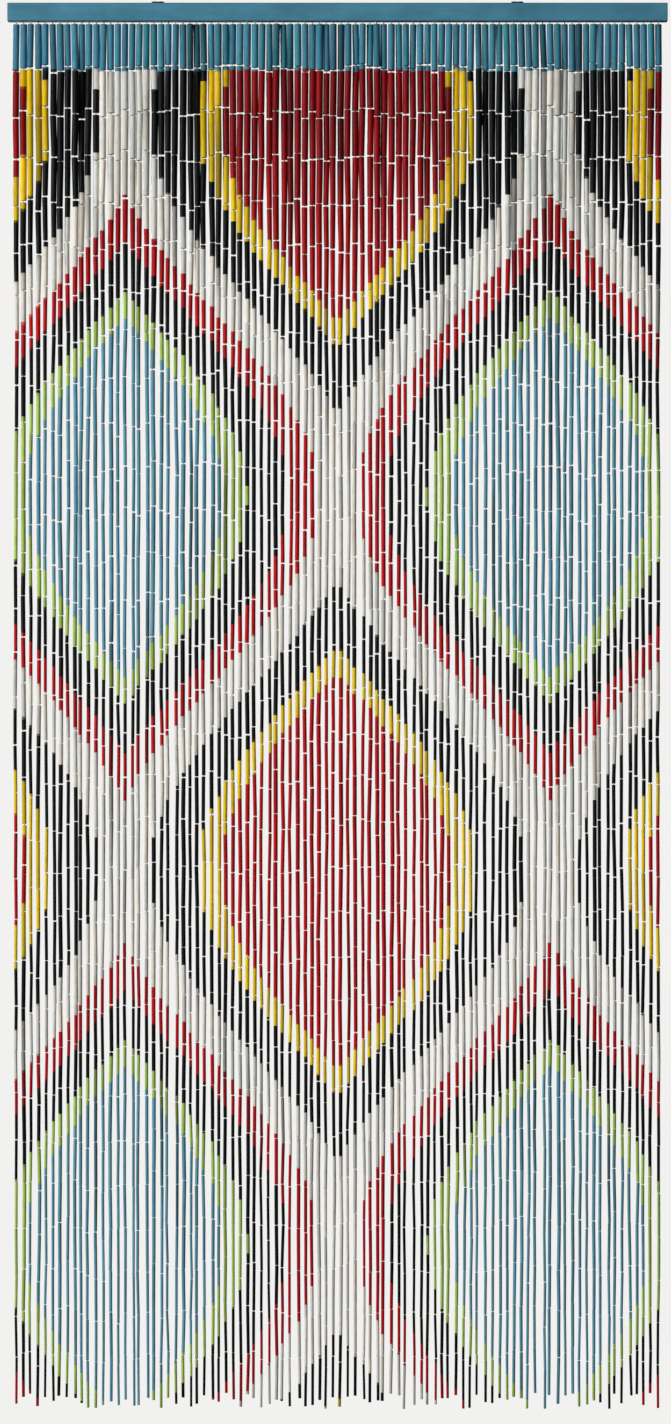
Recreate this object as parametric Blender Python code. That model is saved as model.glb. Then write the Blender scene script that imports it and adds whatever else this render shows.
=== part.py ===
# Bead curtain: ninety strands of cane beads that hang side by side below a painted wooden batten.
# Metres, +Z up. The front faces -Y, and the origin is the middle of the batten's back face.
import random

import bmesh
import bpy
from mathutils import Matrix, Vector

# Batten
BATTEN_LENGTH = 0.900
BATTEN_DEPTH = 0.015
BATTEN_HEIGHT = 0.025
BATTEN_EASE = 0.001

# Hanger plates on top of the batten
HANGER_LENGTH = 0.017
HANGER_DEPTH = 0.010
HANGER_THICK = 0.0016
HANGER_CORNER = 0.002
HANGER_FROM_MIDDLE = 0.245

# Strands
STRAND_COUNT = 90
FIELD_WIDTH = 0.8744
HOOK_THICK = 0.002
STRIP_HEIGHT = 0.001
STRIP_MARGIN = 0.004
FOOT_DEPTH = 1.881
FOOT_UNEVEN = 0.011
SWAY_HELD = 0.5
SWAY_FORWARD = 0.0018
SETTLE_PASSES = 4000
SEED = 8

# Clearances
GAP = 0.0003
STRAND_CLEARANCE = 0.0004

# A row for each level: its depth below the batten, the thickness of a strand of middle size, the
# share by which strands differ there, and how far they stray sideways. The first row is the foot of
# the wire hook, the next the shoulder of the top bead, and the last is the strand's own foot.
TAPER = [
    {"depth": 0.0027, "thick": HOOK_THICK, "spread": 0.00, "stray": 0.0005},
    {"depth": 0.0035, "thick": 0.0091, "spread": 0.05, "stray": 0.0014},
    {"depth": 0.0640, "thick": 0.0091, "spread": 0.05, "stray": 0.0026},
    {"depth": 0.1250, "thick": 0.0090, "spread": 0.05, "stray": 0.0026},
    {"depth": 0.1900, "thick": 0.0085, "spread": 0.07, "stray": 0.0022},
    {"depth": 0.2500, "thick": 0.0078, "spread": 0.09, "stray": 0.0022},
    {"depth": 0.3200, "thick": 0.0069, "spread": 0.12, "stray": 0.0022},
    {"depth": 0.4000, "thick": 0.0060, "spread": 0.14, "stray": 0.0022},
    {"depth": 0.5000, "thick": 0.0054, "spread": 0.16, "stray": 0.0024},
    {"depth": 0.6300, "thick": 0.0052, "spread": 0.17, "stray": 0.0026},
    {"depth": 0.8400, "thick": 0.0052, "spread": 0.17, "stray": 0.0028},
    {"depth": 1.0700, "thick": 0.0051, "spread": 0.17, "stray": 0.0028},
    {"depth": 1.3300, "thick": 0.0048, "spread": 0.17, "stray": 0.0030},
    {"depth": 1.6000, "thick": 0.0043, "spread": 0.17, "stray": 0.0030},
    {"depth": FOOT_DEPTH, "thick": 0.0036, "spread": 0.15, "stray": 0.0030},
]

# Base colours are linear
FINISHES = {
    "teal_paint": {"colour": (0.063, 0.205, 0.280), "roughness": 0.50, "metallic": 0.0},
    "painted_cane": {"colour": (0.170, 0.008, 0.012), "roughness": 0.45, "metallic": 0.0},
    "dark_steel": {"colour": (0.035, 0.040, 0.045), "roughness": 0.40, "metallic": 1.0},
}

PITCH = FIELD_WIDTH / (STRAND_COUNT - 1)
BATTEN_FOOT = -BATTEN_HEIGHT / 2
STRAND_PLANE = -BATTEN_DEPTH / 2


def clear_scene():
    for thing in list(bpy.data.objects):
        bpy.data.objects.remove(thing, do_unlink=True)


def make_finish(name):
    finish = FINISHES[name]
    material = bpy.data.materials.new(name)
    material.use_nodes = True
    shader = material.node_tree.nodes["Principled BSDF"]
    shader.inputs["Base Color"].default_value = (*finish["colour"], 1.0)
    shader.inputs["Roughness"].default_value = finish["roughness"]
    shader.inputs["Metallic"].default_value = finish["metallic"]
    material.diffuse_color = (*finish["colour"], 1.0)
    return material


def add_object(name, bm, material):
    bmesh.ops.recalc_face_normals(bm, faces=bm.faces)
    mesh = bpy.data.meshes.new(name)
    bm.to_mesh(mesh)
    bm.free()
    mesh.materials.append(material)
    thing = bpy.data.objects.new(name, mesh)
    bpy.context.scene.collection.objects.link(thing)
    return thing


# A box of the given size around its centre
def make_box(size, centre):
    bm = bmesh.new()
    bmesh.ops.create_cube(bm, size=1.0, matrix=Matrix.Translation(centre) @ Matrix.Diagonal((*size, 1.0)))
    return bm


def make_batten(material):
    bm = make_box((BATTEN_LENGTH, BATTEN_DEPTH, BATTEN_HEIGHT), Vector((0, -BATTEN_DEPTH / 2, 0)))
    bmesh.ops.bevel(bm, geom=list(bm.edges), offset=BATTEN_EASE, segments=2, profile=0.5, affect="EDGES")
    return add_object("batten", bm, material)


# A plate with rounded corners that lies on the batten, screwed down through its top
def make_hanger(name, middle, material):
    centre = Vector((middle, -BATTEN_DEPTH / 2, BATTEN_HEIGHT / 2 + GAP + HANGER_THICK / 2))
    bm = make_box((HANGER_LENGTH, HANGER_DEPTH, HANGER_THICK), centre)
    upright = [edge for edge in bm.edges if abs((edge.verts[0].co - edge.verts[1].co).z) > HANGER_THICK / 2]
    bmesh.ops.bevel(bm, geom=upright, offset=HANGER_CORNER, segments=3, profile=0.5, affect="EDGES")
    return add_object(name, bm, material)


def strand_middle(strand):
    return -FIELD_WIDTH / 2 + strand * PITCH


# Strands that stand too near each other in a row are eased apart, a little in each pass
def settle_row(middles, thicks):
    for _ in range(SETTLE_PASSES):
        for left in range(len(middles) - 1):
            room = middles[left + 1] - middles[left] - (thicks[left] + thicks[left + 1]) / 2
            lack = max(0, STRAND_CLEARANCE - room)
            middles[left] -= lack / 2
            middles[left + 1] += lack / 2
    return middles


# The centre and thickness of every strand at each row of the taper. A strand hangs to one side of
# its hook's line and strays about that, as far as its neighbours let it.
def hang_strands():
    rng = random.Random(SEED)
    sizes = [rng.uniform(-1, 1) for _ in range(STRAND_COUNT)]
    sides = [rng.uniform(-1, 1) for _ in range(STRAND_COUNT)]
    strands = [[] for _ in range(STRAND_COUNT)]
    for row in TAPER:
        is_hook = row is TAPER[0]
        is_foot = row is TAPER[-1]
        thicks = [row["thick"] * (1 + size * row["spread"]) for size in sizes]
        strays = [SWAY_HELD * side + (1 - SWAY_HELD) * rng.uniform(-1, 1) for side in sides]
        middles = [strand_middle(strand) + stray * row["stray"] for strand, stray in enumerate(strays)]
        middles = settle_row(middles, thicks)
        for strand in range(STRAND_COUNT):
            forward = 0 if is_hook else rng.uniform(-SWAY_FORWARD, SWAY_FORWARD)
            foot = rng.uniform(-FOOT_UNEVEN, FOOT_UNEVEN) if is_foot else 0
            strands[strand].append({
                "centre": Vector((middles[strand], STRAND_PLANE + forward, BATTEN_FOOT - row["depth"] - foot)),
                "thick": thicks[strand],
            })
    return strands


# The narrow strip under the batten that carries the hooks: a row of cells, every second one a root
def make_strip():
    bm = bmesh.new()
    cell_count = 2 * STRAND_COUNT + 1
    cuts = [strand_middle(0) - HOOK_THICK / 2 - STRIP_MARGIN]
    for strand in range(STRAND_COUNT):
        cuts += [strand_middle(strand) - HOOK_THICK / 2, strand_middle(strand) + HOOK_THICK / 2]
    cuts.append(strand_middle(STRAND_COUNT - 1) + HOOK_THICK / 2 + STRIP_MARGIN)

    bmesh.ops.create_grid(bm, x_segments=cell_count, y_segments=1, size=cell_count / 2)
    underside = BATTEN_FOOT - GAP - STRIP_HEIGHT
    for vert in bm.verts:
        cut = round(vert.co.x + cell_count / 2)
        side = HOOK_THICK / 2 if vert.co.y > 0 else -HOOK_THICK / 2
        vert.co = (cuts[cut], STRAND_PLANE + side, underside)
    cells = sorted(bm.faces, key=lambda face: face.calc_center_median().x)

    raised = bmesh.ops.extrude_face_region(bm, geom=cells, use_keep_orig=True)
    lifted = [item for item in raised["geom"] if isinstance(item, bmesh.types.BMVert)]
    bmesh.ops.translate(bm, vec=(0, 0, STRIP_HEIGHT), verts=lifted)
    return bm, cells[1::2]


# Each root grows down through its rings as a four-sided strand
def make_strands(material):
    bm, roots = make_strip()
    for tip, rings in zip(roots, hang_strands()):
        thick = HOOK_THICK
        for ring in rings:
            tip = bmesh.ops.extrude_discrete_faces(bm, faces=[tip])["faces"][0]
            middle = tip.calc_center_median()
            growth = ring["thick"] / thick
            bmesh.ops.scale(
                bm, vec=(growth, growth, 1), space=Matrix.Translation(-middle), verts=tip.verts)
            bmesh.ops.translate(bm, vec=ring["centre"] - middle, verts=tip.verts)
            thick = ring["thick"]
    return add_object("strands", bm, material)


def build():
    clear_scene()
    finishes = {name: make_finish(name) for name in FINISHES}
    make_batten(finishes["teal_paint"])
    make_strands(finishes["painted_cane"])
    make_hanger("hanger_left", -HANGER_FROM_MIDDLE, finishes["dark_steel"])
    make_hanger("hanger_right", HANGER_FROM_MIDDLE, finishes["dark_steel"])


build()
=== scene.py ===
import math

import bmesh
import bpy
import numpy as np
from mathutils import Matrix, Vector


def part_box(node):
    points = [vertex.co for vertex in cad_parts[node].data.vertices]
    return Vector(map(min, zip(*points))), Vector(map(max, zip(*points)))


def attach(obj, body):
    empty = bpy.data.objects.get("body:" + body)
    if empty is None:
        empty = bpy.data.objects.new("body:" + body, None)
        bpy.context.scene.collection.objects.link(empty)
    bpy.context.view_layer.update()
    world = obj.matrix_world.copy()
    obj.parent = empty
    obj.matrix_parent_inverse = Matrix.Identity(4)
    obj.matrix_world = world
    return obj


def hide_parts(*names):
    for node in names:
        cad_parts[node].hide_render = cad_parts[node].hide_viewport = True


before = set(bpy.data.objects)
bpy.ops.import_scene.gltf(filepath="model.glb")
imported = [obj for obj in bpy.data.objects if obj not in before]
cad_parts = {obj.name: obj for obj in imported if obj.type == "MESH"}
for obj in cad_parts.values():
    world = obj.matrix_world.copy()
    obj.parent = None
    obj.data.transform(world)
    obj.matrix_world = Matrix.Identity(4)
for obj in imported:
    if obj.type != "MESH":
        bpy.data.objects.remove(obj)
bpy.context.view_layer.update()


# Picture colours from 0 to 255 as linear values
def tint(red, green, blue):
    return tuple(c / 12.92 if c <= 0.04045 else ((c + 0.055) / 1.055) ** 2.4
                 for c in (red / 255, green / 255, blue / 255)) + (1.0,)


# A socket that takes part in sums
class Value:
    def __init__(self, finish, socket):
        self.finish, self.socket = finish, socket

    def math(self, operation, *others):
        return self.finish.add("ShaderNodeMath", {"operation": operation}, dict(enumerate((self, *others))))

    def __add__(self, other):
        return self.math("ADD", other)

    def __radd__(self, other):
        return self.math("ADD", other)

    def __sub__(self, other):
        return self.math("SUBTRACT", other)

    def __rsub__(self, other):
        return (self * -1).math("ADD", other)

    def __mul__(self, other):
        return self.math("MULTIPLY", other)

    def __rmul__(self, other):
        return self.math("MULTIPLY", other)

    def __truediv__(self, other):
        return self.math("DIVIDE", other)

    def __gt__(self, other):
        return self.math("GREATER_THAN", other)


# A material, and the ways of adding nodes to it
class Finish:
    def __init__(self, name, **fixed):
        self.material = bpy.data.materials.new(name)
        self.material.use_nodes = True
        self.nodes = self.material.node_tree.nodes
        self.links = self.material.node_tree.links
        self.shader = self.nodes["Principled BSDF"]
        for socket, value in fixed.items():
            self.shader.inputs[socket.replace("_", " ")].default_value = value

    # One node: its settings first, then the values or links of its sockets
    def add(self, kind, settings=None, sockets=None, output=0):
        node = self.nodes.new(kind)
        for name, value in (settings or {}).items():
            if name == "stops":
                ramp = node.color_ramp
                while len(ramp.elements) < len(value):
                    ramp.elements.new(1.0)
                for stop, (place, colour) in zip(ramp.elements, value):
                    stop.position, stop.color = place, colour
            elif name == "blending":
                node.color_ramp.interpolation = value
            else:
                setattr(node, name, value)
        for name, value in (sockets or {}).items():
            if isinstance(value, Value):
                self.links.new(value.socket, node.inputs[name])
            else:
                node.inputs[name].default_value = value
        return Value(self, node.outputs[output])

    def attribute(self, name):
        return self.add("ShaderNodeAttribute", {"attribute_name": name}, output="Fac")

    # Object coordinates, stretched
    def place(self, stretch=(1, 1, 1)):
        whole = self.add("ShaderNodeTexCoord", output="Object")
        return self.add("ShaderNodeMapping", {"vector_type": "POINT"}, {"Vector": whole, "Scale": stretch})

    def part(self, vector, axis):
        return self.add("ShaderNodeSeparateXYZ", {}, {0: vector}, output=axis)

    def noise(self, vector, scale, detail=2.0, roughness=0.5):
        return self.add("ShaderNodeTexNoise", {"noise_dimensions": "3D"}, {
            "Vector": vector, "Scale": scale, "Detail": detail, "Roughness": roughness}, output="Fac")

    def mix(self, factor, first, second, blend="MIX"):
        return self.add("ShaderNodeMix", {"data_type": "RGBA", "blend_type": blend}, {
            0: factor, 6: first, 7: second}, output=2)

    def spread(self, value, low, high, start=0.0, end=1.0):
        return self.add("ShaderNodeMapRange", {"clamp": True}, {
            "Value": value, "From Min": low, "From Max": high, "To Min": start, "To Max": end})

    def bump(self, height, distance, strength=1.0):
        return self.add("ShaderNodeBump", {}, {"Height": height, "Distance": distance, "Strength": strength})

    def feed(self, **sockets):
        for name, value in sockets.items():
            self.links.new(value.socket, self.shader.inputs[name.replace("_", " ")])
        return self.material


# Each paint on the thick cane at the top and on the thin cane below; the top tones are painted light and
# shade for the crowded top, mostly darker, darkest in the red
paints = {
    # teal's two tones are mixed at random from bead to bead
    "teal": (tint(58, 132, 146), tint(68, 132, 162)),
    "red": (tint(136, 5, 12), tint(186, 8, 18)),
    "black": (tint(4, 8, 11), tint(6, 9, 11)),
    "cream": (tint(226, 224, 214), tint(214, 210, 198)),
    "yellow": (tint(226, 188, 4), tint(232, 198, 6)),
    "blue": (tint(102, 162, 186), tint(96, 156, 176)),
    "lime": (tint(152, 188, 48), tint(164, 199, 90)),
}

# A plain ogee net: pointed ovals of red and of blue by turns, each with its rings. The bands run from
# the middle of a red oval to the middle of a blue one, with their shares of that way.
ogee = {
    "width": 0.58,
    "height": 1.02,
    "middle": -0.15,        # height of a red oval's middle
    "bands": [("red", 0.27), ("yellow", 0.055), ("black", 0.115), ("cream", 0.10), ("red", 0.07),
              ("black", 0.10), ("lime", 0.055), ("blue", 0.235)],
    "tealFoot": -0.0790,    # the first row of beads has the batten's colour
    "cutWander": 0.0050,    # how far a colour's edge strays from strand to strand
    "topShade": (-0.42, -0.14), # the heights between which painted shade grows in towards the top
}

curtain = {
    "strands": 90,
    "field": 0.8744,        # from the first strand's middle to the last one's
    "stripFoot": -0.0145,   # above this the frame's solid is its root strip
    "beads": 31,            # in each strand
    "gaps": (0.0019, 0.0009),   # between the ends of two beads, at the top and at the foot
    "gapSpread": 0.55,
    "swayFrom": (-0.95, -0.45), # between these heights the sway fades out upwards
    "sway": 0.0007,
    "lengthSpread": 0.10,
    "thinner": 0.03,        # a bead is up to so much thinner than its strand's solid
    "lean": 0.0005,         # how far a joint hangs off the strand's line
    "apart": 0.0003,        # what a bead may stand proud of that solid sideways
    "weld": 1e-6,           # vertices nearer to each other are one
    "ringSpan": 2e-5,       # vertices of one ring differ by less in height
    "blocks": 10,
    "seed": 41,
}
pitch = curtain["field"] / (curtain["strands"] - 1)


def laneMiddle(lane):
    return -curtain["field"] / 2 + lane * pitch


# Each strand's line and thickness, from the rings of its solid. Cut off below their strip, the
# strands come apart, and each is followed from vertex to vertex.
def readStrands():
    bm = bmesh.new()
    bm.from_mesh(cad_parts["strands"].data)
    bmesh.ops.remove_doubles(bm, verts=bm.verts, dist=curtain["weld"])
    bmesh.ops.delete(bm, geom=[v for v in bm.verts if v.co.z > curtain["stripFoot"]], context="VERTS")
    left, strands = set(bm.verts), []
    while left:
        waiting, mine = [left.pop()], []
        while waiting:
            vert = waiting.pop()
            mine.append(vert.co[:])
            near = {e.other_vert(vert) for e in vert.link_edges} & left
            left -= near
            waiting += near
        mine = np.array(mine)
        levels = np.unique(np.round(mine[:, 2], 5))[::-1]
        rings = []
        for level in levels:
            ring = mine[np.abs(mine[:, 2] - level) < curtain["ringSpan"]]
            low, high = ring.min(0), ring.max(0)
            rings.append((*((low + high) / 2), high[0] - low[0]))
        strands.append(np.array(rings))
    bm.free()
    return sorted(strands, key=lambda rings: rings[0, 0])


strands = readStrands()
print("strands read:", len(strands), "rings in each:", len(strands[0]))

crowd = {
    # A round bead is so much wider than its strand's square solid, below and at the top
    "wider": (0.06, 0.05),
    "front": 0.0024,        # by turns the strands hang so far in front and behind
    "keep": 0.15,           # share of the strands that keep to their neighbour's side
    "bunch": 4,             # most strands that hang against each other
    "hold": 0.3,            # the loosest bunch is drawn together by this share
    "sideLeast": 0.5,       # and a strand hangs at least this share of the way in front or behind
    "clear": 0.0004,
    # Seen from the front, two strands are at least this share of their thickness apart
    "least": 0.70,
    "heights": (-0.42, -0.20, -0.06, -0.017),
    "shares": (0.0, 1.0, 1.0, 0.5),
    "passes": 400,
}


# The thick strands have little room at the top: they hang against each other in bunches, by turns
# in front and behind. Lower down they thin, and hang as their solids do.
def crowdStrands():
    rng = np.random.default_rng(curtain["seed"] + 3)
    count = len(strands)
    turns = np.where(np.arange(count) % 2, 1, -1)
    keeps = np.where(rng.uniform(size=count) < crowd["keep"], -1, 1)
    sides = turns * keeps * rng.uniform(crowd["sideLeast"], 1, count)
    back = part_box("batten")[1].y
    bunches, first = [], 0
    while first < count:
        last = min(first + rng.integers(1, crowd["bunch"] + 1), count)
        bunches.append((first, last, rng.uniform(crowd["hold"], 1)))
        first = last
    for level in range(1, len(strands[0])):
        x, y, z, thick = np.array([rings[level] for rings in strands]).T
        share = np.interp(z.mean(), crowd["heights"], crowd["shares"])
        thick = thick * (1 + np.interp(share, (0, 1), crowd["wider"]))
        y = np.minimum(y + sides * crowd["front"] * share, back - thick / 2 - curtain["lean"])
        touch = (thick[:-1] + thick[1:]) / 2 + crowd["clear"]
        touch = np.sqrt(np.maximum(touch ** 2 - np.diff(y) ** 2, (touch * crowd["least"]) ** 2))
        for first, last, hold in bunches:
            packed = np.concatenate([[0], np.cumsum(touch[first:last - 1])])
            packed += x[first:last].mean() - packed.mean()
            x[first:last] += share * hold * (packed - x[first:last])
        for _ in range(crowd["passes"]):
            lack = np.maximum(0, touch - np.diff(x)) / 2
            x[:-1] -= lack
            x[1:] += lack
        for rings, ring in zip(strands, zip(x, y, z, thick)):
            rings[level] = ring


crowdStrands()


# The share of the sway that each strand's nearest neighbour leaves it, lower down
def roomToSway():
    whole = np.array(strands)
    low = whole[:, whole[0, :, 2] < curtain["swayFrom"][1]]
    gaps = (np.diff(low[..., 0], axis=0) - (low[1:, :, 3] + low[:-1, :, 3]) / 2).min(1)
    nearest = np.minimum(np.append(gaps, np.inf), np.append(np.inf, gaps))
    return np.clip(nearest / 2 / curtain["sway"], 0, 1)


# The joints of every strand: where each bead starts and ends, and how thick it is there
def hangBeads():
    rng = np.random.default_rng(curtain["seed"])
    rooms = roomToSway()
    count = curtain["beads"]
    rows = []
    for lane, rings in enumerate(strands):
        shoulder, foot = rings[1, 2], rings[-1, 2]
        shares = 1 + rng.uniform(-1, 1, count) * curtain["lengthSpread"]
        uneven = 1 + rng.uniform(-1, 1, count - 1) * curtain["gapSpread"]
        gaps = np.linspace(*curtain["gaps"], count - 1) * uneven
        lengths = shares / shares.sum() * (shoulder - foot - gaps.sum())
        tops = shoulder - np.concatenate([[0], np.cumsum(lengths[:-1] + gaps)])
        joints = np.append(tops, foot)
        sways = np.interp(joints, curtain["swayFrom"], (curtain["sway"], 0))
        sways *= rng.uniform(-1, 1, count + 1) * rooms[lane]
        depth = rings[::-1, 2]
        along = lambda z, column: np.interp(z, depth, rings[::-1, column])
        for bead in range(count):
            top, bottom = tops[bead], tops[bead] - lengths[bead]
            lean = rng.uniform(-1, 1, 4) * curtain["lean"]
            size = 1 - rng.uniform(0, 1) * curtain["thinner"]
            ends = []
            for z, sway, dx, dy in ((top, sways[bead], *lean[:2]), (bottom, sways[bead + 1], *lean[2:])):
                thick = along(z, 3)
                room = thick * (1 - size) / 2 + curtain["apart"] / 2
                x = along(z, 0) + sway + np.clip(dx, -room, room)
                ends.append((x, along(z, 1) + dy, z, thick * size / 2))
            rows.append((lane, bead, rng.uniform(), rng.uniform(), *ends[0], *ends[1]))
    return np.array(rows)


# Columns: lane, bead, tone, turn, then x, y, z and radius at the top and at the bottom
beads = hangBeads()
print("beads hung:", len(beads))


# A shape made once in a bmesh, kept as plain arrays to be repeated
def keepTemplate(bm, uv=None):
    bm.verts.ensure_lookup_table()
    bm.faces.ensure_lookup_table()
    sharp = [[v.index for v in e.verts] for e in bm.edges if not e.smooth]
    template = {
        "points": np.array([v.co[:] for v in bm.verts]),
        "corners": np.array([l.vert.index for f in bm.faces for l in f.loops]),
        "sizes": np.array([len(f.verts) for f in bm.faces]),
        "sharp": np.array(sharp).reshape(-1, 2),
    }
    if uv:
        layer = bm.loops.layers.uv[uv]
        template["map"] = np.array([l[layer].uv[:] for f in bm.faces for l in f.loops])
    bm.free()
    return template


beadShape = {
    "sides": 10,
    "half": 2.0,            # half length, in radii
    "rim": 0.10,            # eased edge of a cut end
    "wall": 0.52,           # cane around its bore
    "bore": 1.1,            # depth of the bore that shows
    "same": 1e-4,           # heights or radii that differ by less belong to one ring
    "side": 0.98,           # points further out than this are on the cane's outside
}

# The cell of a bead in the map, from 0 to 1 each way
beadMap = {
    "steps": [0.03, 0.10, 0.07, 0.04, 0.48, 0.04, 0.07, 0.10],  # from ring to ring
    "halfRound": 0.46,      # half the way round the bead
    "floorAcross": 0.97,    # the middles of the two bore floors
    "floorUp": (0.3, 0.7),
    "floorSize": (0.03, 0.2),
    "fill": 0.98,           # share of its cell that a bead takes
}


# A length of cane with eased ends and a bore at each end, its sizes in radii
def makeBeadTemplate():
    shape = beadShape
    bm = bmesh.new()
    layer = bm.loops.layers.uv.new("OFBake")
    bmesh.ops.create_cone(bm, cap_ends=True, segments=shape["sides"],
                          radius1=1, radius2=1, depth=2 * shape["half"])
    caps = [f for f in bm.faces if len(f.verts) > 4]
    bmesh.ops.bevel(bm, geom=[e for f in caps for e in f.edges], offset=shape["rim"],
                    affect="EDGES", segments=1, profile=0.5, material=-1)
    caps = [f for f in bm.faces if len(f.verts) > 4]
    bmesh.ops.inset_individual(bm, faces=caps, thickness=shape["wall"])
    bores = bmesh.ops.extrude_discrete_faces(bm, faces=caps)["faces"]
    for face in bores:
        bmesh.ops.translate(bm, vec=-face.normal * shape["bore"], verts=face.verts)
    bm.normal_update()
    for edge in bm.edges:
        first, second = (v.co for v in edge.verts)
        rise, growth = abs(first.z - second.z), abs(first.xy.length - second.xy.length)
        edge.smooth = rise > shape["same"] or growth > shape["same"]

    # The map: along the bead across the cell, round it up the cell, the two bore floors as small discs
    half, rim, bore = shape["half"], shape["rim"], 1 - shape["rim"] - shape["wall"]
    top = [(half - shape["bore"], bore), (half, bore), (half, 1 - rim), (half - rim, 1)]
    path = top + [(-z, r) for z, r in reversed(top)]
    reach = np.cumsum(beadMap["steps"])
    across, up = beadMap["floorSize"]
    for face in bm.faces:
        floor = len(face.verts) > 4
        middle = face.calc_center_median()
        turn = math.atan2(middle.y, middle.x)
        for loop in face.loops:
            spot = loop.vert.co
            if floor:
                height = beadMap["floorUp"][0 if spot.z > 0 else 1]
                loop[layer].uv = (beadMap["floorAcross"] + across * spot.x, height + up * spot.y)
                continue
            gaps = [math.hypot(spot.z - z, spot.xy.length - r) for z, r in path]
            near = gaps.index(min(gaps))
            around = (math.atan2(spot.y, spot.x) - turn + math.pi) % math.tau - math.pi + turn
            loop[layer].uv = (reach[near], 0.5 + beadMap["halfRound"] * around / math.pi)
    return keepTemplate(bm, "OFBake")


# Copies of a template joined to one mesh. Points is (copies, template points, 3); each attribute has
# one number a copy, or one for each of its points.
def joinCopies(name, template, points, attributes, material, maps=None):
    copies, size = points.shape[0], points.shape[1]
    shift = np.arange(copies)[:, None] * size
    corners = (template["corners"][None] + shift).ravel()
    sizes = np.tile(template["sizes"], copies)
    mesh = bpy.data.meshes.new(name)
    mesh.vertices.add(copies * size)
    mesh.vertices.foreach_set("co", points.astype(np.float32).ravel())
    mesh.loops.add(len(corners))
    mesh.loops.foreach_set("vertex_index", corners.astype(np.int32))
    mesh.polygons.add(len(sizes))
    mesh.polygons.foreach_set("loop_start", np.concatenate([[0], np.cumsum(sizes)[:-1]]).astype(np.int32))
    mesh.polygons.foreach_set("use_smooth", np.ones(len(sizes), dtype=bool))
    mesh.update(calc_edges=True)
    if len(template["sharp"]):
        ends = np.empty(len(mesh.edges) * 2, dtype=np.int32)
        mesh.edges.foreach_get("vertices", ends)
        ends = np.sort(ends.reshape(-1, 2) % size, axis=1)
        sharp = {tuple(pair) for pair in np.sort(template["sharp"], axis=1).tolist()}
        flags = np.fromiter((tuple(pair) in sharp for pair in ends.tolist()), bool, len(ends))
        mesh.attributes.new("sharp_edge", "BOOLEAN", "EDGE").data.foreach_set("value", flags)
    for key, values in attributes.items():
        values = np.asarray(values, dtype=np.float32)
        whole = np.broadcast_to(values if values.ndim == 2 else values[:, None], (copies, size))
        mesh.attributes.new(key, "FLOAT", "POINT").data.foreach_set("value", whole.ravel())
    if maps is not None:
        mesh.uv_layers.new(name="OFBake").uv.foreach_set("vector", maps.astype(np.float32).ravel())
    mesh.materials.append(material)
    mesh.validate()
    thing = bpy.data.objects.new(name, mesh)
    bpy.context.scene.collection.objects.link(thing)
    return thing


caneLook = {
    "tones": (0.72, 1.10),      # the paint of the deepest and of the palest bead
    "shadowFrom": (0.60, 0.68), # where the drifting noise lies in this reach, beads get a painted shadow, as strands hanging behind the others
    "shadow": (1.0, 0.42),      # share of its tone that a bead keeps under that painted shadow
    "red": (0.94, 1.06),        # by chance a bead leans to blue or to red
    "blue": (1.05, 0.95),
    "relief": 0.00012,
}


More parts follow.
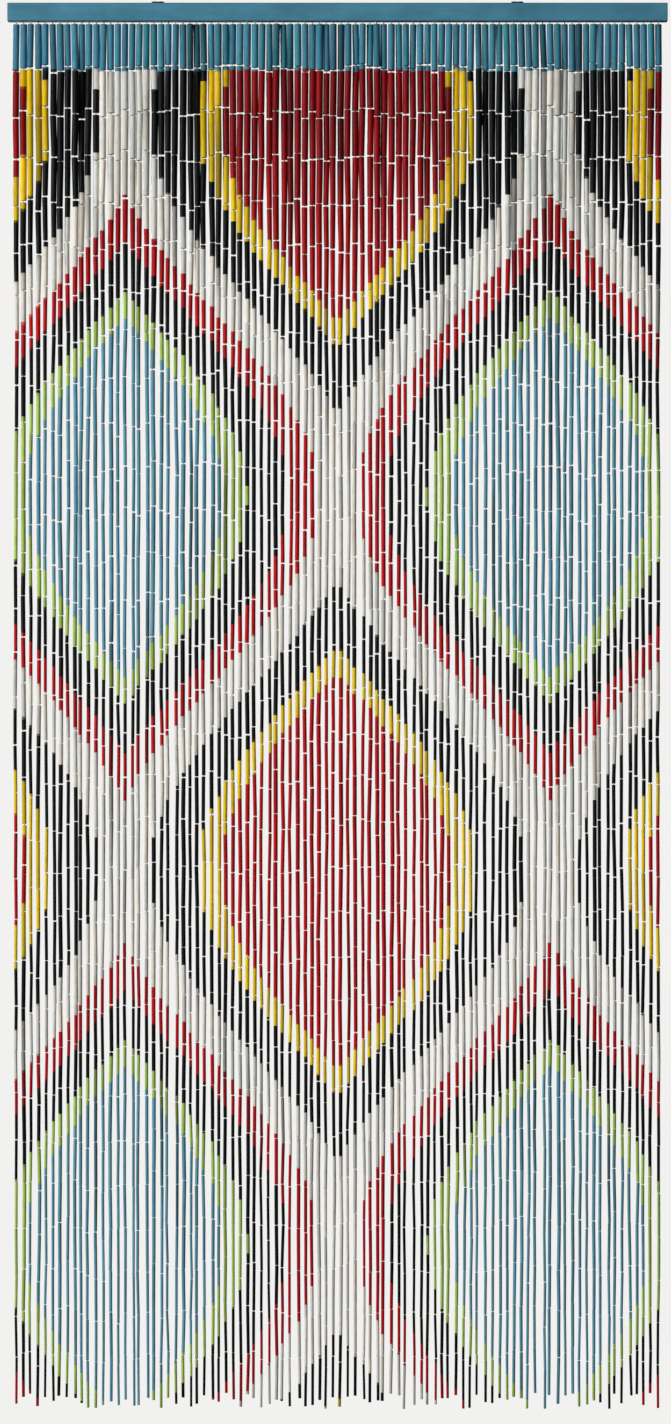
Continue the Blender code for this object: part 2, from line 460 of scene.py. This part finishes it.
# Painted cane: the net of ovals, then what the paint and the cane show close by
def caneFinish():
    cane = Finish("paintedCane", IOR=1.5, Specular_IOR_Level=0.13)
    lane, tone, seed = cane.attribute("lane"), cane.attribute("tone"), cane.attribute("seed")
    end, ring = cane.attribute("cutEnd"), cane.attribute("fromEnd")
    height = cane.part(cane.place(), "Z")

    # The painter's edge strays a little on each strand
    stray = cane.add("ShaderNodeTexWhiteNoise", {"noise_dimensions": "1D"},
                     {"W": lane * 977.0}, output="Value")
    level = height + (stray - 0.5) * ogee["cutWander"]
    wave = ((level - ogee["middle"]) * (math.tau / ogee["height"])).math("COSINE")
    across = lane.math("PINGPONG", ogee["width"] / 2)
    way = 0.5 - (wave * 0.25 + 0.25) + across / ogee["width"]
    whole = sum(share for name, share in ogee["bands"])
    shadedTopAndLowerRamps = []
    for toneAndShade in range(2):
        stops, reached = [], 0.0
        for name, share in ogee["bands"]:
            stops.append((reached / whole, paints[name][toneAndShade]))
            reached += share
        settings = {"stops": stops, "blending": "CONSTANT"}
        shadedTopAndLowerRamps.append(cane.add("ShaderNodeValToRGB", settings, {0: way}, output="Color"))
    topShade = cane.spread(height, *ogee["topShade"])
    # Painted shade: towards the crowded top the net turns to the shaded top tones
    colour = cane.mix(topShade, shadedTopAndLowerRamps[1], shadedTopAndLowerRamps[0])
    colour = cane.mix(level > ogee["tealFoot"], colour, cane.mix(seed, *paints["teal"]))

    # No two beads took the paint alike, some strands get a painted shadow as if they hung behind the others,
    # and the grain runs down each of them
    drift = cane.add("ShaderNodeCombineXYZ", {}, {0: lane * 733.0, 1: height * 1.7, 2: 0.0})
    strandShadowNoise = cane.noise(drift, 1.0, 1, 0.5)
    tones = cane.spread(tone, 0, 1, *caneLook["tones"])
    # random bead tones times the painted strand shadow, which grows towards the top
    shade = tones * cane.spread(strandShadowNoise + topShade * 0.05, *caneLook["shadowFrom"], *caneLook["shadow"])
    toneAndShade = cane.add("ShaderNodeCombineXYZ", {}, {
        0: shade * cane.spread(seed, 0, 1, *caneLook["red"]), 1: shade,
        2: shade * cane.spread(seed, 0, 1, *caneLook["blue"])})
    colour = cane.mix(1.0, colour, toneAndShade, "MULTIPLY")
    offset = cane.add("ShaderNodeCombineXYZ", {}, {0: seed * 31.0, 1: seed * 17.0, 2: seed * 5.0})
    spot = cane.add("ShaderNodeVectorMath", {"operation": "ADD"}, {0: cane.place((1, 1, 0.035)), 1: offset})
    fibre = cane.noise(spot, 1500, 3, 0.6)
    colour = cane.mix(cane.spread(fibre, 0.45, 0.80, 0, 0.22), colour, tint(8, 8, 10))
    patch = cane.noise(cane.place((1, 1, 0.4)), 160, 3, 0.6)
    colour = cane.mix(cane.spread(patch, 0.50, 0.75, 0, 0.5), colour, tint(200, 200, 200), "MULTIPLY")

    # A dark cane brown at the cut ends, and the paint rubbed through to it beside them
    bare = cane.mix(fibre, tint(104, 82, 56), tint(158, 132, 94))
    rub = cane.noise(cane.place(), 900, 2, 0.6)
    worn = cane.spread(rub - ring * 0.5, 0.42, 0.50, 0, 0.7)
    colour = cane.mix((end * 0.75).math("MAXIMUM", worn * 0.5), colour, bare)
    rough = cane.spread(patch, 0.3, 0.7, 0.44, 0.62) + end * 0.3
    relief = cane.bump(fibre, caneLook["relief"], 0.6)
    return cane.feed(Base_Color=colour, Roughness=rough, Normal=relief)


battenLook = {
    "wander": 0.0012,           # how far the darker edge strays
    "edge": (0.0121, 0.0129),   # it starts and is full so far from the middle of the height
    "depthMiddle": 0.0075,
    "arris": (0.0069, 0.0077),  # and so far from the middle of the depth
    "relief": 0.0002,
}


def battenFinish():
    wood = Finish("battenPaint", Specular_IOR_Level=0.3)
    grain = wood.noise(wood.place((0.05, 1, 1)), 420, 4, 0.6)
    mottle = wood.noise(wood.place((0.5, 1, 1)), 38, 4, 0.6)
    colour = wood.mix(wood.spread(mottle, 0.3, 0.7), tint(62, 119, 141), tint(76, 140, 164))
    colour = wood.mix(wood.spread(grain, 0.5, 0.8, 0, 0.25), colour, tint(48, 92, 112))
    height, depth = wood.part(wood.place(), "Z"), wood.part(wood.place(), "Y")
    edgeWander = wood.noise(wood.place(), 300, 3, 0.6) * battenLook["wander"]
    nearEdge = wood.spread(height.math("ABSOLUTE") + edgeWander, *battenLook["edge"])
    away = (depth + battenLook["depthMiddle"]).math("ABSOLUTE")
    arris = nearEdge * wood.spread(away + edgeWander, *battenLook["arris"])
    # Darker along the four long eased edges
    colour = wood.mix(arris * 0.8, colour, tint(42, 52, 58))
    rough = wood.spread(mottle, 0.3, 0.7, 0.52, 0.66)
    return wood.feed(Base_Color=colour, Roughness=rough, Normal=wood.bump(grain, battenLook["relief"], 0.5))


def wireFinish():
    steel = Finish("galvanisedWire", Metallic=1.0)
    mark = steel.noise(steel.place(), 2600, 2, 0.5)
    colour = steel.mix(steel.spread(mark, 0.3, 0.7), tint(120, 120, 118), tint(196, 197, 198))
    return steel.feed(Base_Color=colour, Roughness=steel.spread(mark, 0.3, 0.7, 0.28, 0.45))


def plateFinish():
    steel = Finish("darkSteel", Metallic=1.0)
    mark = steel.noise(steel.place((0.3, 1, 1)), 1200, 4, 0.6)
    colour = steel.mix(steel.spread(mark, 0.3, 0.7), tint(40, 43, 46), tint(88, 90, 92))
    rough = steel.spread(mark, 0.3, 0.7, 0.35, 0.55)
    return steel.feed(Base_Color=colour, Roughness=rough, Normal=steel.bump(mark, 0.00008, 0.4))


# The template's points set between the two ends of every bead
def placeBeads(template, rows):
    count = len(rows)
    top, bottom = rows[:, 4:7], rows[:, 8:11]
    rise = top - bottom
    length = np.linalg.norm(rise, axis=1, keepdims=True)
    up = rise / length
    side = np.cross(up, np.array([0.0, 1.0, 0.0]))
    side /= np.linalg.norm(side, axis=1, keepdims=True)
    front = np.cross(up, side)
    turn = rows[:, 3] * math.tau
    c, s = np.cos(turn)[:, None], np.sin(turn)[:, None]
    side, front = side * c + front * s, front * c - side * s
    middle = (top + bottom) / 2
    radius = (rows[:, 7] + rows[:, 11]) / 2
    z = template["points"][None, :, 2]
    along = np.sign(z) * (length / 2 - (beadShape["half"] - np.abs(z)) * radius[:, None])
    share = along / length + 0.5
    thick = rows[:, 11][:, None] * (1 - share) + rows[:, 7][:, None] * share
    x = template["points"][None, :, 0] * thick
    y = template["points"][None, :, 1] * thick
    return (middle[:, None] + up[:, None] * along[..., None]
            + side[:, None] * x[..., None] + front[:, None] * y[..., None])


def makeBeads(material):
    template = makeBeadTemplate()
    reach = np.hypot(template["points"][:, 0], template["points"][:, 1])
    cut = (reach < beadShape["side"]).astype(float)
    outside = (reach > beadShape["side"]) * 1.0
    perBlock = curtain["strands"] // curtain["blocks"]
    count = curtain["beads"]
    pieces = []
    for block in range(curtain["blocks"]):
        rows = beads[(beads[:, 0] >= block * perBlock) & (beads[:, 0] < (block + 1) * perBlock)]
        points = placeBeads(template, rows)
        size = points.shape[1]
        column, row = rows[:, 0] - block * perBlock, rows[:, 1]
        cell = np.stack([column / perBlock, row / count], 1)[:, None]
        maps = cell + template["map"][None] * beadMap["fill"] * np.array([1 / perBlock, 1 / count])
        piece = joinCopies(f"cane_beads_{block + 1:02d}", template, points, {
            "lane": laneMiddle(rows[:, 0]), "tone": rows[:, 2], "seed": rows[:, 3],
            "cutEnd": np.broadcast_to(cut, (len(rows), size)),
            "fromEnd": np.broadcast_to(outside, (len(rows), size)),
        }, material, maps.reshape(-1, 2))
        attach(piece, "root")
        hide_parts("strands")
        pieces.append(piece)
    return pieces


caneBeads = makeBeads(caneFinish())
print("bead pieces:", len(caneBeads))


# Wire links: two small eyes hooked through each other at every joint
link = {
    "eye": 0.00074,         # radius of an eye's middle line
    "wire": 0.00022,        # half its thickness
    "long": 1.12,           # an eye is a little longer than wide
    "steps": 8,
    "sides": 4,
    "fits": 0.0026,         # in a bead of less radius the eyes are pinched narrower
}


# A ring of wire that stands upright, its middle line one unit in radius
def makeEyeTemplate(eye):
    bm = bmesh.new()
    ring = bmesh.ops.create_circle(bm, cap_ends=False, segments=eye["sides"],
                                   radius=eye["wire"] / eye["eye"])["verts"]
    bmesh.ops.rotate(bm, verts=ring, cent=(0, 0, 0), matrix=Matrix.Rotation(math.pi / 2, 3, "X"))
    bmesh.ops.translate(bm, verts=ring, vec=(1, 0, 0))
    bmesh.ops.spin(bm, geom=list(bm.verts) + list(bm.edges), cent=(0, 0, 0), axis=(0, 0, 1),
                   angle=math.tau, steps=eye["steps"], use_merge=True)
    bmesh.ops.remove_doubles(bm, verts=bm.verts, dist=1e-5)
    bmesh.ops.recalc_face_normals(bm, faces=bm.faces)
    bmesh.ops.rotate(bm, verts=bm.verts, cent=(0, 0, 0), matrix=Matrix.Rotation(math.pi / 2, 3, "X"))
    return keepTemplate(bm)


# Half the way between the middles of two eyes that are hooked through each other
def hookedReach(eye):
    return eye["eye"] * eye["long"] - eye["wire"]


# One eye at every spot, turned about the strand, and narrower where the cane is thin
def placeEyes(eye, template, spots, turns, widths):
    c, s = np.cos(turns)[:, None], np.sin(turns)[:, None]
    x, y, z = (template["points"][:, axis][None] * eye["eye"] for axis in range(3))
    x, y = x * widths[:, None], y * widths[:, None]
    points = np.stack([x * c - y * s, x * s + y * c, z * eye["long"] + 0 * c], -1)
    return points + spots[:, None]


def makeLinks(material):
    rng = np.random.default_rng(curtain["seed"] + 1)
    template = makeEyeTemplate(link)
    spots, turns, lanes, widths = [], [], [], []
    for upper, lower in zip(beads[:-1], beads[1:]):
        if upper[0] != lower[0]:
            continue
        middle = (upper[8:11] + lower[4:7]) / 2
        turn = rng.uniform(0, math.tau)
        for side in (1, -1):
            spots.append(middle + np.array([0, 0, side * hookedReach(link)]))
            turns.append(turn + (math.pi / 2 if side < 0 else 0))
            lanes.append(upper[0])
            widths.append(min(1, upper[11] / link["fits"]))
    spots, turns, lanes, widths = (np.array(column) for column in (spots, turns, lanes, widths))
    half = curtain["strands"] / 2
    for name, mine in (("wire_links_left", lanes < half), ("wire_links_right", lanes >= half)):
        points = placeEyes(link, template, spots[mine], turns[mine], widths[mine])
        piece = joinCopies(name, template, points, {}, material)
        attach(piece, "root")


wire = wireFinish()
makeLinks(wire)
print("wire links made")


# Hooks: an eye in the batten's underside, with the first bead's own eye through it
hook = {
    "eye": 0.00105,
    "wire": 0.00032,
    "long": 1.15,
    "steps": 12,
    "sides": 6,
    "into": 0.0004,         # how far its top is let into the wood
    "turn": 0.5,            # how far it turns to either side
}


def makeHooks(material):
    rng = np.random.default_rng(curtain["seed"] + 2)
    eyes = makeEyeTemplate(hook)
    upper = beads[beads[:, 1] == 0][:, 4:7]
    upper[:, 2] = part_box("batten")[0].z + hook["into"] - hook["eye"] * hook["long"]
    lower = upper - np.array([0, 0, 2 * hookedReach(hook)])
    turns = rng.uniform(-hook["turn"], hook["turn"], len(upper))
    full = np.ones(len(upper))
    points = np.concatenate([placeEyes(hook, eyes, upper, turns, full),
                             placeEyes(hook, eyes, lower, turns + math.pi / 2, full)])
    piece = joinCopies("wire_hooks", eyes, points, {}, material)
    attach(piece, "root")


makeHooks(wire)
print("wire hooks made")


# Hanger plates, each held by two slotted screws
hanger = {
    "corner": 0.002,
    "ease": 0.0003,
    "headRadius": 0.0020,
    "headHeight": 0.0009,
    "slotWidth": 0.0006,
    "slotDepth": 0.0004,
    "apart": 0.0088,        # between the screws
    "headTop": 0.86,        # share of its radius at the top of a head
    "headEase": 0.3,        # share of its height that the head's rim is rounded by
    "sunk": 0.0001,         # how far a head is let into the plate
    "slotTurn": (0.7, 0.5), # the slots' common turn, and what each turns more or less
}


def makeHanger(name, node, material):
    low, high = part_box(node)
    size, middle = high - low, (low + high) / 2
    bm = bmesh.new()
    bmesh.ops.create_cube(bm, size=1, matrix=Matrix.Diagonal((*size, 1)))
    upright = [e for e in bm.edges if abs(e.verts[0].co.z - e.verts[1].co.z) > size.z / 2]
    bmesh.ops.bevel(bm, geom=upright, offset=hanger["corner"],
                    affect="EDGES", segments=4, profile=0.5, material=-1)
    rims = [e for e in bm.edges if abs(e.verts[0].co.z - e.verts[1].co.z) < 1e-6]
    bmesh.ops.bevel(bm, geom=rims, offset=hanger["ease"],
                    affect="EDGES", segments=2, profile=0.5, material=-1)
    for side in (-1, 1):
        screw = bmesh.new()
        radius, tall = hanger["headRadius"], hanger["headHeight"]
        bmesh.ops.create_cone(screw, cap_ends=True, segments=20,
                              radius1=radius, radius2=radius * hanger["headTop"], depth=tall)
        top = [f for f in screw.faces if len(f.verts) > 4 and f.normal.z > 0]
        bmesh.ops.bevel(screw, geom=[e for f in top for e in f.edges], offset=tall * hanger["headEase"],
                        affect="EDGES", segments=2, profile=0.5, material=-1)
        for edge in (-1, 1):
            whole = list(screw.verts) + list(screw.edges) + list(screw.faces)
            bmesh.ops.bisect_plane(screw, geom=whole, plane_no=(0, 1, 0),
                                   plane_co=(0, edge * hanger["slotWidth"] / 2, 0))
        strip = [f for f in screw.faces
                 if f.normal.z > 0.99 and abs(f.calc_center_median().y) < hanger["slotWidth"] / 4]
        for face in bmesh.ops.extrude_discrete_faces(screw, faces=strip)["faces"]:
            bmesh.ops.translate(screw, vec=(0, 0, -hanger["slotDepth"]), verts=face.verts)
        common, own = hanger["slotTurn"]
        turn = Matrix.Rotation(common + side * own, 4, "Z")
        seat = (side * hanger["apart"] / 2, 0, size.z / 2 + tall / 2 - hanger["sunk"])
        bmesh.ops.transform(screw, verts=screw.verts, matrix=Matrix.Translation(seat) @ turn)
        kept = bpy.data.meshes.new("screw")
        screw.to_mesh(kept)
        screw.free()
        bm.from_mesh(kept)
        bpy.data.meshes.remove(kept)
    bmesh.ops.translate(bm, vec=middle, verts=bm.verts)
    bmesh.ops.recalc_face_normals(bm, faces=bm.faces)
    mesh = bpy.data.meshes.new(name)
    bm.to_mesh(mesh)
    bm.free()
    mesh.materials.append(material)
    piece = bpy.data.objects.new(name, mesh)
    bpy.context.scene.collection.objects.link(piece)
    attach(piece, "root")
    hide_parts(node)


plate = plateFinish()
makeHanger("hanger_plate_left", "hanger_left", plate)
makeHanger("hanger_plate_right", "hanger_right", plate)
print("hangers made")

# The batten is the frame's own solid with its paint
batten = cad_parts["batten"]
batten.data.materials.clear()
batten.data.materials.append(battenFinish())


studio = {
    "air": (0.885, 0.880, 0.868, 1),
    "floor": -2.35,         # the curtain hangs clear of it
    "floorGlow": (0.66, 0.66, 0.65, 1),
    "floorFade": (0.9, 2.5),    # between these radii the floor melts into the air
    "floorRadius": 2.6,
    "distance": 6.0,
    "frameHeight": 1.9448,
    "middle": (-0.0027, -0.954),
    "film": 36,
    "farthest": 100,
    "skyColour": (0.93, 0.97, 1.0, 1),
    "skyPower": 0.07,
}


def makeFloor():
    bm = bmesh.new()
    bmesh.ops.create_circle(bm, cap_ends=True, segments=96, radius=studio["floorRadius"],
                            matrix=Matrix.Translation((0, 0, studio["floor"])))
    mesh = bpy.data.meshes.new("studioFloor")
    bm.to_mesh(mesh)
    bm.free()
    floor = Finish("floorPaint", Roughness=0.9, Specular_IOR_Level=0.0, Emission_Strength=1.0)
    cloud = floor.noise(floor.place(), 3, 2, 0.5)
    colour = floor.mix(cloud, tint(112, 112, 110), tint(120, 120, 118))
    level = floor.place((1, 1, 0))
    away = floor.add("ShaderNodeVectorMath", {"operation": "LENGTH"}, {0: level}, output="Value")
    fade = floor.spread(away, *studio["floorFade"])
    mesh.materials.append(floor.feed(
        Base_Color=floor.mix(fade, colour, (0, 0, 0, 1)),
        Emission_Color=floor.mix(fade, studio["floorGlow"], studio["air"])))
    thing = bpy.data.objects.new("studioFloor", mesh)
    thing.visible_diffuse = thing.visible_glossy = False
    bpy.context.scene.collection.objects.link(thing)


def makeWorld():
    world = bpy.data.worlds.new("studioAir")
    world.use_nodes = True
    bpy.context.scene.world = world
    nodes, links = world.node_tree.nodes, world.node_tree.links
    seen = nodes["Background"]
    seen.inputs["Color"].default_value = studio["air"]
    seen.inputs["Strength"].default_value = 1.0
    lit = nodes.new("ShaderNodeBackground")
    lit.inputs["Color"].default_value = studio["skyColour"]
    lit.inputs["Strength"].default_value = studio["skyPower"]
    path, blend = nodes.new("ShaderNodeLightPath"), nodes.new("ShaderNodeMixShader")
    links.new(path.outputs["Is Camera Ray"], blend.inputs[0])
    links.new(lit.outputs[0], blend.inputs[1])
    links.new(seen.outputs[0], blend.inputs[2])
    links.new(blend.outputs[0], nodes["World Output"].inputs["Surface"])


# Each lamp has its name, its place, what it is turned to, its size and its power
lamps = [
    ("key", (-4.4, -3.4, -0.3), (0, 0, -0.95), 1.2, 300),
    ("fill", (1.2, -5.5, -0.6), (0, 0, -1.0), 2.4, 14),
    ("back", (-1.6, 5.2, 0.4), (0, 0, -0.95), 2.0, 190),
    ("above", (-0.5, -0.9, 2.6), (0, 0, 0), 1.6, 30),
]


def makeLamp(name, place, aim, size, power):
    data = bpy.data.lights.new(name, "AREA")
    data.size, data.energy = size, power
    lamp = bpy.data.objects.new(name, data)
    bpy.context.scene.collection.objects.link(lamp)
    lamp.location = place
    lamp.rotation_euler = (Vector(aim) - Vector(place)).to_track_quat("-Z", "Y").to_euler()


def makeCamera():
    data = bpy.data.cameras.new("camera")
    camera = bpy.data.objects.new("camera", data)
    bpy.context.scene.collection.objects.link(camera)
    data.sensor_width = studio["film"]
    data.lens = studio["film"] * studio["distance"] / studio["frameHeight"]
    camera.location = (studio["middle"][0], -studio["distance"], studio["middle"][1])
    camera.rotation_euler = (math.pi / 2, 0, 0)
    data.clip_end = studio["farthest"]
    bpy.context.scene.camera = camera


makeFloor()
makeWorld()
for lamp in lamps:
    makeLamp(*lamp)
makeCamera()
bpy.context.scene.view_settings.view_transform = "Standard"
